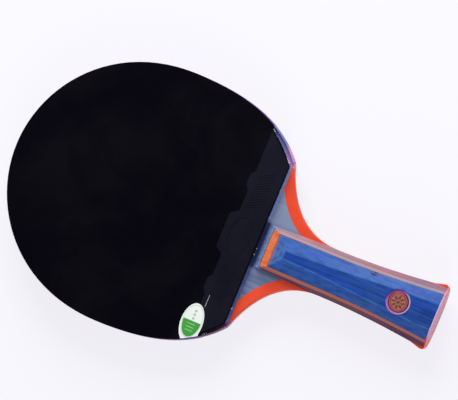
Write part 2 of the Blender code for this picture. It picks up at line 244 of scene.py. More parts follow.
class Finish:
    """A material in the making, with short ways to add nodes."""

    def __init__(self, name, **looks):
        self.material = bpy.data.materials.new(name)
        self.material.use_nodes = True
        self.tree = self.material.node_tree
        self.shader = self.tree.nodes["Principled BSDF"]
        self.look(**looks)

    def look(self, **looks):
        """Sets inputs of the shader, or links them to a pattern."""
        sockets = {"colour": "Base Color", "specular": "Specular IOR Level"}
        for word, value in looks.items():
            self.feed(self.shader.inputs[sockets.get(word, word.title())], value)

    def feed(self, socket, value):
        if isinstance(value, bpy.types.NodeSocket):
            self.tree.links.new(value, socket)
        elif socket.type == "RGBA":
            socket.default_value = (*value, 1.0)
        else:
            socket.default_value = value

    def node(self, kind, inputs, **settings):
        made = self.tree.nodes.new("ShaderNode" + kind)
        for name, value in settings.items():
            setattr(made, name, value)
        for key, value in inputs.items():
            self.feed(made.inputs[key], value)
        return made

    def place(self, size=1, centre=(0, 0, 0), turn=0.0):
        """Coordinates counted from a centre, turned about Z, in cells of this size."""
        cell = size if isinstance(size, tuple) else (size, size, size)
        inputs = {"Vector": self.node("TexCoord", {}).outputs["Object"], "Location": centre}
        inputs.update({"Rotation": (0, 0, turn), "Scale": cell})
        return self.node("Mapping", inputs, vector_type="TEXTURE").outputs[0]

    def clouds(self, size, detail=3.0, roughness=0.5, distortion=0.0, centre=(0, 0, 0)):
        inputs = {"Vector": self.place(size, centre), "Scale": 1.0, "Detail": detail}
        inputs.update({"Roughness": roughness, "Distortion": distortion})
        return self.node("TexNoise", inputs).outputs[0]

    def cells(self, size):
        """The distance from the nearest of many scattered points."""
        inputs = {"Vector": self.place(size), "Scale": 1.0}
        return self.node("TexVoronoi", inputs).outputs["Distance"]

    def fade(self, value, start, end, low=0.0, high=1.0):
        """Goes softly from low to high as the value goes from start to end."""
        inputs = dict(enumerate((value, start, end, low, high)))
        return self.node("MapRange", inputs, interpolation_type="SMOOTHSTEP").outputs[0]

    def blend(self, share, first, second):
        """Goes from one colour to another, each a pattern or what paint() takes."""
        first, second = [paint(*c) if isinstance(c, tuple) else c for c in (first, second)]
        inputs = {0: share, 6: first, 7: second}
        return self.node("Mix", inputs, data_type="RGBA").outputs[2]

    def maths(self, operation, *values):
        return self.node("Math", dict(enumerate(values)), operation=operation).outputs[0]

    def times(self, first, second):
        return self.maths("MULTIPLY", first, second)

    def part(self, vector, axis):
        return self.node("SeparateXYZ", {0: vector}).outputs[axis]

    def places(self):
        """The station, the distance across and the height over the middle of the blade."""
        spot = self.place(centre=(TIP, 0, MIDDLE))
        return [self.part(spot, axis) for axis in range(3)]

    def length(self, vector):
        return self.node("VectorMath", {0: vector}, operation="LENGTH").outputs["Value"]

    def radius(self, centre):
        """The distance from an upright line through a centre."""
        spot = self.place(centre=(centre.x, centre.y, 0))
        flat = self.node("VectorMath", {0: spot, 1: (1, 1, 0)}, operation="MULTIPLY")
        return self.length(flat.outputs[0])

    def finished(self, colour, relief, depth, **looks):
        """The material, with a fine relief of this depth from a pattern from nought to one."""
        dents = self.node("Bump", {"Height": relief, "Distance": depth})
        self.look(colour=colour, normal=dents.outputs[0], **looks)
        return self.material


def grained(name, dark, light, pore, **looks):
    """Wood with its grain along the handle: broad streaks, fine fibres and dark pores."""
    made = Finish(name, **looks)
    streaks = made.clouds((0.07, 0.0024, 0.0024), 3.0, 0.55, 0.6)
    fibres = made.clouds((0.016, 0.0004, 0.0004), 4.0, 0.6, 0.3)
    pores = made.clouds((0.011, 0.0003, 0.0003), 1.0, centre=(0.31, 0.02, 0.0))
    colour = made.blend(made.fade(streaks, 0.35, 0.66), dark, light)
    colour = made.blend(made.fade(fibres, 0.35, 0.75, 0.0, 0.35), colour, light)
    colour = made.blend(made.fade(pores, 0.6, 0.74, 0.0, 0.5), colour, pore)
    made.finished(colour, fibres, 0.00002, roughness=made.fade(fibres, 0.3, 0.7, 0.36, 0.5))
    return made


def core_wood():
    return grained("pale_limba", (176, 138, 96), (208, 172, 128), (120, 88, 58)).material


def corner_tints_and_painted_light(made, colour, share, upper, lower):
    """Blends colours towards both corners of the head, paler above and darker below as painted
    light.
    """
    station, across, _ = made.places()
    upper_side = made.times(made.fade(station, 0.127, 0.134), made.fade(across, 0.0, 0.03))
    lower_side = made.times(made.fade(station, 0.135, 0.139), made.fade(across, 0.0, -0.03))
    upper = made.blend(made.fade(station, 0.1415, 0.1450), *upper)
    lower = made.blend(made.fade(station, 0.1465, 0.1490), *lower)
    colour = made.blend(made.times(upper_side, share), colour, upper)
    return made.blend(made.times(lower_side, share), colour, lower)


def dyed_ply():
    """Grey-blue, paler upwards as painted light, with a painted shadow where foam and scale meet.
    """
    shades = (92, 106, 140), (118, 132, 166), (60, 72, 106)
    made = grained("grey_blue_ply", *shades, specular=0.15)
    station, across, _ = made.places()
    colour = made.shader.inputs["Base Color"].links[0].from_socket
    # Paler on the upper side: painted light.
    pale = made.fade(across, 0.004, 0.016, 0.0, 0.55)
    colour = made.blend(pale, colour, (146, 158, 186))
    beside = made.maths("ABSOLUTE", across)
    # Dark navy where the foam and the scale's foot nearly meet: a painted shadow.
    painted_shadow = made.times(made.fade(station, 0.1515, 0.1505), made.fade(beside, 0.0145, 0.0125))
    colour = made.blend(made.times(painted_shadow, 0.85), colour, (22, 36, 78))
    # Purples towards the corners, paler above as painted light and darker below as painted shade.
    upper, lower = ((126, 128, 172), (160, 126, 180)), ((112, 78, 108), (156, 94, 150))
    colour = corner_tints_and_painted_light(made, colour, made.fade(beside, 0.038, 0.042), upper, lower)
    made.look(colour=colour)
    return made.material


def orange_wood():
    """Orange in front and on the lower side, tan on the upper side as painted light, with dark
    glue lines.
    """
    made = Finish("orange_dyed_veneer", specular=0.15)
    streaks = made.clouds((0.05, 0.0020, 0.0020), 3.0, 0.6, 0.5)
    fibres = made.clouds((0.012, 0.0004, 0.0004), 4.0, 0.6, 0.3)
    colour = made.blend(made.fade(streaks, 0.35, 0.66), (194, 92, 48), (218, 115, 72))
    colour = made.blend(made.fade(fibres, 0.35, 0.75, 0.0, 0.4), colour, (225, 136, 98))
    _, across, height = made.places()
    # The upper side's tan is painted light.
    upper = made.fade(across, 0.0096, 0.0106)
    painted_lit_side = made.times(upper, made.fade(streaks, 0.4, 0.6, 0.95, 0.7))
    colour = made.blend(painted_lit_side, colour, (134, 126, 138))
    lower = made.fade(across, -0.0098, -0.0112)
    colour = made.blend(made.times(lower, 0.85), colour, (164, 102, 96))
    level = made.maths("ABSOLUTE", height)
    low, high = [abs(level - MIDDLE) for level in heights("front_scale_veneer")]
    over, under = made.fade(level, high - 0.00016, high), made.fade(level, low, low - 0.00022)
    glue = made.maths("MAXIMUM", over, under)
    colour = made.blend(made.times(glue, 0.75), colour, (46, 28, 52))
    rough = made.fade(fibres, 0.3, 0.7, 0.34, 0.46)
    return made.finished(colour, fibres, 0.00002, roughness=rough)


def plum_wood():
    """Plum along the handle, mauve on the upper side as painted light, and slate blue at its front
    end and low beside it.
    """
    made = Finish("plum_and_slate_wood", specular=0.12)
    streaks = made.clouds((0.07, 0.0014, 0.0014), 3.0, 0.6, 0.5)
    share = made.fade(streaks, 0.35, 0.65)
    station, across, height = made.places()
    # The upper side is a pale mauve, palest near the front and darker towards the butt: painted
    # light.
    upper = made.fade(across, -0.004, 0.004)
    plum = made.blend(share, (78, 40, 66), (106, 60, 88))
    painted_lit_side = made.blend(share, (134, 95, 109), (155, 116, 126))
    pale = made.fade(station, 0.182, 0.166, 0.0, 0.5)
    painted_lit_side = made.blend(pale, painted_lit_side, (178, 150, 164))
    dark = made.fade(station, 0.222, 0.244, 0.0, 0.4)
    painted_lit_side = made.blend(dark, painted_lit_side, (112, 84, 118))
    plum = made.blend(upper, plum, painted_lit_side)
    low_down = made.fade(made.maths("ABSOLUTE", height), 0.0060, 0.0044, 0.0, 0.9)
    # Its upper side is lighter: painted light.
    low_slate = made.blend(upper, (84, 78, 108), (112, 116, 136))
    plum = made.blend(made.times(low_down, made.fade(station, 0.1740, 0.1660)), plum, low_slate)
    slate = made.blend(share, (92, 122, 176), (120, 152, 206))
    colour = made.blend(made.fade(station, 0.1530, 0.1560), slate, plum)
    rough = made.fade(streaks, 0.3, 0.7, 0.3, 0.42)
    return made.finished(colour, streaks, 0.00003, roughness=rough)


def blue_wood(name, wear_and_light, grain, pale=(78, 134, 210), seam=False):
    """Blue-dyed wood under thin lacquer, paled by a share, partly wear and partly painted light,
    with streaks of this size.

    At the seam in front, the veneer's orange shows through its foot."""
    made = Finish(name, specular=0.12)
    streaks = made.clouds(grain, 4.0, 0.6, 0.8)
    patches = made.clouds((0.03, 0.006, 0.006), 3.0, 0.6, centre=(0.2, 0.0, 0.0))
    fibres = made.clouds((grain[0] / 6, grain[1] / 7, grain[2] / 7), 4.0, 0.65, 0.3)
    pores = made.clouds((0.014, 0.00035, 0.00035), 1.0, centre=(0.13, 0.04, 0.0))
    stains = made.clouds((0.013, 0.004, 0.004), 4.0, 0.65, centre=(0.07, 0.03, 0.0))
    colour = made.blend(made.fade(streaks, 0.36, 0.66), (16, 48, 120), (40, 78, 158))
    layers = (
        (patches, 0.42, 0.64, 0.6, (12, 54, 158)),
        (fibres, 0.42, 0.8, 0.4, (52, 98, 178)),
        (pores, 0.62, 0.76, 0.5, (12, 30, 86)),
        (stains, 0.5, 0.66, 0.55, (12, 36, 98)),
    )
    for pattern, start, end, most, tint in layers:
        colour = made.blend(made.fade(pattern, start, end, 0.0, most), colour, tint)
    paling_clouds = made.clouds((0.006, 0.002, 0.002), 3.0)
    colour = made.blend(made.fade(paling_clouds, 0.3, 0.62, wear_and_light * 0.4, wear_and_light * 1.1), colour, pale)
    if seam:
        foot = made.fade(made.places()[0], 0.1602, 0.1584, 0.0, 0.6)
        colour = made.blend(foot, colour, (160, 96, 66))
    for station, across, half_length, half_width in KNOTS:
        place = (TIP + station, across, MIDDLE + KNOT_HEIGHT)
        knot = made.length(made.place((half_length, half_width, 0.01), place))
        colour = made.blend(made.fade(knot, 1.2, 0.4, 0.0, 0.95), colour, (6, 16, 54))
    rough = made.fade(streaks, 0.3, 0.7, 0.34, 0.46)
    return made.finished(colour, fibres, 0.000025, roughness=rough)


def orange_plastic():
    """Orange, purple at the wings' tips, and at the end a pink that is a painted reflection, with
    a pale lilac rim that is a painted highlight.
    """
    made = Finish("moulded_orange_plastic", specular=0.3)
    flow = made.clouds(0.016)
    grain = made.clouds(0.0004, 2.0, 0.6)
    colour = made.blend(made.fade(flow, 0.3, 0.7), (226, 68, 36), (238, 80, 48))
    station, across, height = made.places()
    # The end's pink is a painted reflection, pinker high up, and its lilac rim a painted
    # highlight.
    beside = made.maths("ABSOLUTE", made.maths("SUBTRACT", across, 0.0016))
    end = made.times(made.fade(station, 0.2560, 0.2566), made.fade(beside, 0.0160, 0.0144))
    end = made.times(end, made.fade(height, -0.0112, -0.0104))
    low_down = made.fade(height, -0.0030, -0.0090)
    pink = made.blend(low_down, (213, 120, 148), (200, 122, 124))
    pink = made.blend(made.fade(height, 0.0088, 0.0104), pink, (200, 172, 214))
    colour = made.blend(end, colour, pink)
    for side, reach, tint in TIP_PURPLES_LIT_AND_SHADED:
        tip = (TIP + TIP_STATION, side * TIP_ACROSS, MIDDLE)
        near = made.length(made.place((reach, reach, 0.1), tip))
        colour = made.blend(made.fade(near, 1.15, 0.6, 0.0, 0.85), colour, tint)
    rough = made.fade(grain, 0.3, 0.7, 0.3, 0.44)
    return made.finished(colour, grain, 0.00001, roughness=rough)


def rubber(name, low, high, specular):
    """The playing surface: a grippy matt skin, clouded by chalk and handling."""
    made = Finish(name, specular=specular)
    handled = made.clouds(0.038, 4.0, 0.6, 0.4)
    grain = made.clouds(0.0007, 3.0, 0.6)
    colour = made.blend(made.fade(handled, 0.35, 0.7), low, high)
    rough = made.fade(handled, 0.3, 0.7, 0.5, 0.62)
    return made.finished(colour, grain, 0.000012, roughness=rough)


def blue_sponge():
    """Foam with open pores, paler above as painted light, a painted shadow beside the handle, and
    pale specks as painted glints.
    """
    made = Finish("blue_foam", roughness=0.9, specular=0.1)
    pores = made.cells(0.0004)
    clouds = made.clouds(0.005)
    glint_specks = made.clouds(0.0012, 1.0)
    colour = made.blend(made.fade(clouds, 0.3, 0.7), (74, 94, 156), (94, 112, 170))
    across = made.places()[1]
    beside = made.maths("ABSOLUTE", across)
    # Paler on the upper side as painted light, dark navy beside the handle as a painted shadow,
    # and pale specks as painted glints.
    layers = (
        (across, 0.010, 0.016, 0.7, (152, 172, 234)),
        (beside, 0.0150, 0.0125, 0.85, (26, 36, 74)),
        (pores, 0.35, 0.1, 0.7, (30, 44, 104)),
        (glint_specks, 0.74, 0.8, 0.8, (214, 218, 228)),
    )
    for pattern, start, end, most, tint in layers:
        colour = made.blend(made.fade(pattern, start, end, 0.0, most), colour, tint)
    return made.finished(colour, pores, 0.00008)


def purple_tape():
    made = Finish("purple_edge_tape", specular=0.15)
    creases = made.clouds((0.02, 0.02, 0.004), 4.0, 0.6, 0.5)
    scuffs = made.clouds((0.0011, 0.0011, 0.008), 2.0, 0.7)
    colour = made.blend(made.fade(creases, 0.35, 0.65), (92, 62, 136), (120, 84, 164))
    # The tape's corners are paler and pinker above as painted light, and darker below as painted
    # shade.
    upper, lower = ((112, 112, 186), (206, 146, 202)), ((92, 62, 90), (140, 84, 136))
    colour = corner_tints_and_painted_light(made, colour, 0.9, upper, lower)
    colour = made.blend(made.fade(scuffs, 0.62, 0.8, 0.0, 0.3), colour, (176, 150, 206))
    rough = made.fade(creases, 0.35, 0.65, 0.5, 0.65)
    return made.finished(colour, creases, 0.0001, roughness=rough)


def pink_metal():
    """Pink in front, violet on the upper side as painted shade, pale lilac at the back as a
    painted highlight, and darker inside.
    """
    made = Finish("pink_lacquered_metal", metallic=1.0, roughness=0.25)
    centre = centre_of("badge_ring")
    # The metal's colours by place are painted reflection, highlight and shade.
    back = made.fade(made.part(made.place(centre=centre), 0), -0.001, 0.005)
    turned = made.place(centre=centre, turn=math.radians(125))
    upper = made.fade(made.part(turned, 0), 0.001, 0.006)
    outer = made.blend(back, (182, 118, 192), (178, 156, 200))
    outer = made.blend(upper, outer, (96, 54, 124))
    inner = made.blend(back, (186, 92, 152), (96, 36, 72))
    colour = made.blend(made.fade(made.radius(centre), 0.0060, 0.0064), inner, outer)
    tarnish = made.clouds(0.003, 2.0)
    dull = made.fade(tarnish, 0.3, 0.7, 0.0, 0.2)
    return made.finished(made.blend(dull, colour, (120, 60, 120)), tarnish, 0.00002)


def gold_metal():
    """A spun disc, brushed in fine rings about its centre and reddish towards its rim."""
    made = Finish("brushed_gold", metallic=1.0)
    centre = centre_of("badge_disc")
    inputs = {"Vector": made.place(centre=centre), "Scale": 900.0, "Distortion": 1.5}
    brushed = made.node("TexWave", inputs, wave_type="RINGS", rings_direction="Z").outputs[1]
    colour = made.blend(brushed, (136, 94, 70), (158, 116, 86))
    rim = made.fade(made.radius(centre), 0.0034, 0.0046, 0.0, 0.85)
    colour = made.blend(rim, colour, (158, 78, 82))
    rough = made.fade(brushed, 0.0, 1.0, 0.36, 0.5)
    return made.finished(colour, brushed, 0.000006, roughness=rough)


def red_enamel():
    made = Finish("dark_red_enamel", specular=0.4, roughness=0.3)
    depth = made.clouds(0.001, 2.0)
    return made.finished(made.blend(depth, (104, 34, 38), (126, 46, 46)), depth, 0.00001)


def label_print():
    """A white oval: a thin grey line, a green end with pale bars, and dots at the other end."""
    made = Finish("printed_label", specular=0.2, roughness=0.45)
    low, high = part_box("oval_label")
    half_width = (high.x - low.x) / 2 - PRINT_SIDE_MARGIN
    middle = high.y - PRINT_HALF_LENGTH - PRINT_END_MARGIN
    centre = ((low.x + high.x) / 2, middle, high.z)
    oval = made.place((half_width, PRINT_HALF_LENGTH, 1), centre)
    out, across, along = made.length(oval), made.part(oval, 0), made.part(oval, 1)
    paper = made.blend(made.clouds(0.0025), (232, 240, 233), (242, 247, 242))
    ink = made.clouds((0.002, 0.006, 0.002))
    green = made.blend(ink, (56, 144, 56), (72, 164, 70))
    field = made.times(made.fade(out, 1.0, 0.96), made.fade(along, 0.06, 0.02))
    colour = made.blend(field, paper, green)
    line = made.maths("COMPARE", out, 1.04, 0.025)
    colour = made.blend(made.times(line, 0.5), colour, (128, 150, 138))
    waves = made.fade(made.maths("SINE", made.times(along, 30.0)), 0.55, 0.75)
    bars = made.times(waves, made.maths("COMPARE", across, 0.0, 0.42))
    bars = made.times(bars, made.maths("COMPARE", along, -0.36, 0.26))
    colour = made.blend(made.times(bars, 0.55), colour, (170, 222, 164))
    for place in DOT_PLACES:
        spot = (centre[0], middle + place * PRINT_HALF_LENGTH, centre[2])
        dot = made.length(made.place((DOT_RADIUS, DOT_RADIUS, 1), spot))
        colour = made.blend(made.fade(dot, 1.05, 0.9, 0.0, 0.6), colour, (110, 150, 124))
    return made.finished(colour, made.clouds(0.002), 0.00001)


# Pale flecks for the thread and crumbs at the rubber's foot: painted highlights.
def glint_flecks():
    made = Finish("glint_flecks", roughness=0.6, specular=0.2)
    lumps = made.clouds(0.0004, 2.0)
    return made.finished(made.blend(lumps, (168, 172, 176), (226, 230, 234)), lumps, 0.00004)


def copied(node):
    """The node's solid as a bmesh, its triangles merged into whole faces that point outwards."""
    shape = bmesh.new()
    shape.from_mesh(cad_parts[node].data)
    bmesh.ops.remove_doubles(shape, verts=shape.verts, dist=MERGED)
    bmesh.ops.dissolve_limit(shape, angle_limit=FLAT_ANGLE, verts=shape.verts, edges=shape.edges)
    bmesh.ops.recalc_face_normals(shape, faces=shape.faces)
    return shape


def heights(node):
    """The node's levels nearest to the middle plane and farthest from it."""
    low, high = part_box(node)
    return (low.z, high.z) if high.z > MIDDLE else (high.z, low.z)


def is_upright(face):
    return abs(face.normal.z) < 0.1


def is_level(edge):
    return abs(edge.verts[0].co.z - edge.verts[1].co.z) < NEAR


def is_at(item, axis, place):
    """Whether an edge or a face lies wholly at one place along an axis."""
    return all(abs(vert.co[axis] - place) < NEAR for vert in item.verts)


def move_level(shape, axis, old, new):
    """Moves the corners that lie at one place along an axis to another place along it."""
    for vert in shape.verts:
        if abs(vert.co[axis] - old) < NEAR:
            vert.co[axis] = new


def lay_on(shape, node, under):
    """Brings the foot of a copied node onto the piece under it, a little way in."""
    foot, top = heights(node)[0], heights(under)[1]
    move_level(shape, 2, foot, top - math.copysign(SEAT, foot - MIDDLE))


def summed_normals(faces):
    """Each corner of these faces, with the sum of their normals there."""
    normals = {}
    for face in faces:
        for vert in face.verts:
            normals[vert] = normals.get(vert, Vector()) + face.normal
    return normals


def push_out(faces, distance):
    """Moves upright faces along their own normals."""
    for vert, normal in summed_normals(faces).items():
        vert.co += distance * normal.normalized()


def rounded(shape, edges, width, segments=2):
    """Rounds these edges and returns the faces of the rounding."""
    return bmesh.ops.bevel(
        shape,
        geom=edges,
        offset=width,
        offset_type="OFFSET",
        segments=segments,
        profile=0.5,
        affect="EDGES",
        clamp_overlap=True,
        material=-1,
    )["faces"]


def rim_edges(shape, level):
    """The edges round the flat face at this level."""
    faces = {face for face in shape.faces if is_at(face, 2, level)}
    return [edge for edge in shape.edges if len(faces.intersection(edge.link_faces)) == 1]


def peg(shape, matrix, height, foot_radius, head_radius, segments):
    """A closed peg about the matrix's own Z axis, with its middle at the matrix's place."""
    size = {"radius1": foot_radius, "radius2": head_radius, "depth": height}
    bmesh.ops.create_cone(shape, cap_ends=True, segments=segments, matrix=matrix, **size)


def lump(shape, matrix, subdivisions=2):
    """A ball of radius 1, shaped and placed by a matrix."""
    bmesh.ops.create_icosphere(shape, subdivisions=subdivisions, radius=1.0, matrix=matrix)


def put_in_scene(name, data):
    made = bpy.data.objects.new(name, data)
    bpy.context.scene.collection.objects.link(made)
    return made


def mesh_object(name, shape):
    mesh = bpy.data.meshes.new(name)
    shape.to_mesh(mesh)
    return put_in_scene(name, mesh)


def add_piece(name, shape, finishes, slot, *nodes):
    """Makes an object of the shape, rides it on the racket and lets it stand for these solids."""
    bmesh.ops.recalc_face_normals(shape, faces=shape.faces)
    piece = mesh_object(name, shape)
    shape.free()
    for finish in finishes:
        piece.data.materials.append(finish)
    piece.data.shade_smooth()
    piece.data.set_sharp_from_angle(angle=SHARP_ANGLE)
    shading = piece.modifiers.new("even_shading", "WEIGHTED_NORMAL")
    shading.keep_sharp = True
    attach(piece, "root")
    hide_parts(*nodes)
    return piece


def keep_solid(node, finish):
    """A solid that shows as it is, in a new finish."""
    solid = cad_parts[node]
    solid.data.materials.clear()
    solid.data.materials.append(finish)


def plies():
    pale, grey_blue = core_wood(), dyed_ply()
    keep_solid("blade_core", pale)
    for side in ("front", "rear"):
        keep_solid(side + "_inner_ply", pale)
        keep_solid(side + "_outer_ply", grey_blue)


def band_rounding(station):
    """How far the frame's outer edges are rounded at this station, never quite nought."""
    wing = 1 - between(station, *WING_STATIONS)
    width = RAIL_ROUNDING + (WING_ROUNDING - RAIL_ROUNDING) * wing
    width *= between(station, *WING_TIP_STATIONS) * (1 - between(station, *EAR_STATIONS))
    return max(width, LEAST_ROUNDING)


def plan_place(vert):
    """A corner's place seen from above, the same for all corners of an upright edge."""
    return tuple(round(value, 6) for value in vert.co.xy)


def round_band(shape):
    """Rounds the frame's outer edges.

    The outer wall is cut into rows, and they are laid along two quarter circles."""
    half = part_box("front_outer_ply")[1].z - MIDDLE
    outwards = {}
    uprights = set()
    for face in shape.faces:
        tall = all(abs(abs(vert.co.z - MIDDLE) - half) < NEAR for vert in face.verts)
        centre = face.calc_center_median()
        outer = face.normal.y * centre.y >= 0 and centre.x - TIP <= EAR_STATIONS[1]
        if not (is_upright(face) and tall and outer):
            continue
        for edge in face.edges:
            if not is_level(edge):
                uprights.add(edge)
                place = plan_place(edge.verts[0])
                outwards[place] = outwards.get(place, Vector()) + face.normal
    bmesh.ops.subdivide_edges(shape, edges=list(uprights), cuts=2 * ROUNDING_ROWS)
    rows = 2 * ROUNDING_ROWS + 1
    for vert in shape.verts:
        place = plan_place(vert)
        if place not in outwards:
            continue
        width = band_rounding(vert.co.x - TIP)
        side = math.copysign(1, vert.co.z - MIDDLE)
        row = round((half - abs(vert.co.z - MIDDLE)) / (2 * half) * rows)
        turn = math.pi / 2 * row / ROUNDING_ROWS
        vert.co.z = MIDDLE + side * (half - width * (1 - math.cos(turn)))
        vert.co -= width * (1 - math.sin(turn)) * outwards[place].normalized()
    bmesh.ops.remove_doubles(shape, verts=shape.verts, dist=MERGED)


def grip_frame():
    """The moulded frame, rounded along its outer edges and fitted tight round the neck."""
    shape = copied("grip_frame")
    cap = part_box("front_scale_base")[1].x
    move_level(shape, 0, cap + GLUE_GAP, cap + GLUE_GAP + CAP_THINNING)
    inner = [
        face
        for face in shape.faces
        if is_upright(face)
        and (face.normal.y * face.calc_center_median().y < 0 or face.normal.x < -0.9)
        and face.calc_center_median().x < cap
    ]
    push_out(inner, GLUE_GAP - SEAT)
    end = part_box("grip_frame")[1].x
    rim = [
        edge
        for edge in shape.edges
        if is_at(edge, 0, end)
        and all(abs(vert.co.z - MIDDLE) > CAP_SHOULDER for vert in edge.verts)
    ]
    rounded(shape, rim, CAP_ROUNDING, 3)
    round_band(shape)
    add_piece("moulded_grip_frame", shape, [orange_plastic()], "orange_plastic", "grip_frame")


def tape():
    """The edge tape, pressed onto the rim of the blade."""
    shape = copied("edge_tape")
    inner = [
        face
        for face in shape.faces
        if is_upright(face) and face.normal.dot(face.calc_center_median() - HEAD_CENTRE) < 0
    ]
    push_out(inner, GLUE_GAP - SEAT)
    rims = [edge for level in heights("edge_tape") for edge in rim_edges(shape, level)]
    rounded(shape, rims, TAPE_ROUNDING)
    add_piece("wrapped_edge_tape", shape, [purple_tape()], "purple_tape", "edge_tape")


def trim_depth(station, across):
    """How far a rubber is trimmed back from its rim at this place."""
    start, full, depth, corner_depth = UPPER_TRIM if across > 0 else LOWER_TRIM
    deeper = (corner_depth - depth) * between(station, full, CORNER_STATION)
    return between(station, start, full) * (depth + deeper)


def is_foot(face):
    """Whether a face is the straight one at the foot of a rubber's layer."""
    return face.normal.x > 0.7 and abs(face.normal.y) < NEAR


def rim_walls(shape):
    """The upright faces round a rubber's layer, apart from its straight foot."""
    return [face for face in shape.faces if is_upright(face) and not is_foot(face)]


def cut_rim(shape, spread, ahead=0.0):
    """Spreads the rim of a rubber's layer, and trims it back beside both corners of the head.

    The trim can start a little ahead of its place."""
    edges = [
        edge
        for edge in {edge for face in rim_walls(shape) for edge in face.edges}
        if is_level(edge) and min(vert.co.x for vert in edge.verts) > TIP + CORNER_ZONE
    ]
    bmesh.ops.subdivide_edges(shape, edges=edges, cuts=CORNER_CUTS)
    shape.normal_update()
    foot = {vert for face in shape.faces if is_foot(face) for vert in face.verts}
    for vert, normal in summed_normals(rim_walls(shape)).items():
        reach = spread - trim_depth(vert.co.x - TIP + ahead, vert.co.y)
        if vert in foot:
            vert.co.y += reach * normal.length / normal.y
        else:
            vert.co += reach * normal.normalized()
    shape.normal_update()


def sponge(side, finish):
    node = side + "_sponge"
    shape = copied(node)
    cut_rim(shape, 0.0)
    lay_on(shape, node, side + "_outer_ply")
    piece = add_piece(side + "_foam", shape, [finish], "blue_sponge", node)


def glint_crumbs(shape):
    """A pale thread and crumbs, painted highlights in the look of dried glue, pressed flat on the
    foot of the front rubber.
    """
    before = set(shape.faces)
    station, across, height = GLINT_THREAD
    bar(shape, Vector((TIP + station, across, MIDDLE + height)), GLINT_THREAD_SIZE, 0.0)
    for station, across, height, radius in GLINT_CRUMBS:
        place = Matrix.Translation((TIP + station, across, MIDDLE + height))
        lump(shape, place @ Matrix.Diagonal((radius, radius * 0.8, radius * 0.6, 1)))
    for face in set(shape.faces) - before:
        face.material_index = 1


def sheet(side, finishes, slot):
    """The outer sheet of a rubber, with softened edges."""
    node = side + "_topsheet"
    shape = copied(node)
    cut_rim(shape, RIM_SPREAD)
    foot, top = heights(node)
    move_level(shape, 2, foot, top - math.copysign(SHEET_THICKNESS, top - MIDDLE))
    rounded(shape, rim_edges(shape, top), SHEET_ROUNDING)
    if side == "front":
        glint_crumbs(shape)
    add_piece(side + "_sheet", shape, finishes, slot, node)


def rim_of(node):
    """The upright walls of a rubber's trimmed layer, to find the nearest of them."""
    wall = copied(node)
    cut_rim(wall, 0.0)
    level = [face for face in wall.faces if abs(face.normal.z) > 0.5]
    bmesh.ops.delete(wall, geom=level, context="FACES_ONLY")
    rim = BVHTree.FromBMesh(wall)
    wall.free()
    return rim


def pips(side, finish, slot):
    """Short pips between the sheet and the sponge, in rows along the rim."""
    node = side + "_topsheet"
    rim = rim_of(node)
    low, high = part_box(node)
    top = heights(node)[1]
    outwards = math.copysign(1, top - MIDDLE)
    foot = heights(side + "_sponge")[1] - outwards * SEAT
    head = top - outwards * (SHEET_THICKNESS - SEAT)
    row_spacing = PIP_SPACING * math.sqrt(3) / 2
    shape = bmesh.new()
    for row in range(int((high.x - low.x) / row_spacing) + 1):
        for column in range(int((high.y - low.y) / PIP_SPACING) + 1):
            x = low.x + row * row_spacing
            y = low.y + (column + row % 2 / 2) * PIP_SPACING
            place = Vector((x, y, (low.z + high.z) / 2))
            nearest, normal, _, distance = rim.find_nearest(place)
            inside = normal.dot(place - nearest) < 0
            if inside and PIP_RADIUS + PIP_MARGIN < distance < PIP_REACH:
                middle = Matrix.Translation((x, y, (head + foot) / 2))
                peg(shape, middle, abs(head - foot), PIP_RADIUS, PIP_RADIUS, 8)
    add_piece(side + "_pips", shape, [finish], slot, node)


def tongue_reach(y):
    """How far the front edge of the moulded band runs forward at this distance across."""
    reach = 0.0
    for centre, half_width, length in BAND_TONGUES:
        edge = half_width + BAND_FLANK / 2
        reach += length * between(edge - abs(y - centre), 0.0, BAND_FLANK)
    return reach


def band_field(node, top, outwards):
    """The foot of the sheet's face, raised inside a margin, with tongues along its front edge."""
    shape = copied(node)
    cut_rim(shape, RIM_SPREAD - BAND_MARGIN, BAND_TRIM_START)
    rest = [face for face in shape.faces if abs(face.calc_center_median().z - top) > NEAR]
    bmesh.ops.delete(shape, geom=rest, context="FACES")
    front = TIP + BAND_STATION
    for place, inwards in ((front, 1), (TIP + CORNER_STATION - BAND_MARGIN, -1)):
        everything = shape.verts[:] + shape.edges[:] + shape.faces[:]
        cut = {"plane_co": (place, 0, 0), "plane_no": (inwards, 0, 0)}
        bmesh.ops.bisect_plane(shape, geom=everything, clear_inner=True, **cut)
    bmesh.ops.delete(shape, geom=shape.faces[:], context="FACES_ONLY")
    front_edge = [edge for edge in shape.edges if is_at(edge, 0, front)]
    bmesh.ops.subdivide_edges(shape, edges=front_edge, cuts=BAND_CUTS)
    for vert in shape.verts:
        if abs(vert.co.x - front) < NEAR:
            vert.co.x -= tongue_reach(vert.co.y)
    bmesh.ops.remove_doubles(shape, verts=shape.verts, dist=BAND_SHORTEST_EDGE)
    bmesh.ops.edgeloop_fill(shape, edges=shape.edges[:])
    for vert in shape.verts:
        vert.co.z = top - outwards * SEAT
    field = bmesh.ops.extrude_face_region(shape, geom=shape.faces[:], use_keep_orig=True)
    raised = [item for item in field["geom"] if isinstance(item, bmesh.types.BMVert)]
    bmesh.ops.translate(shape, verts=raised, vec=(0, 0, outwards * (BAND_RELIEF + SEAT)))
    bmesh.ops.recalc_face_normals(shape, faces=shape.faces)
    rounded(shape, rim_edges(shape, top + outwards * BAND_RELIEF), BAND_RELIEF * 0.8)
    return shape


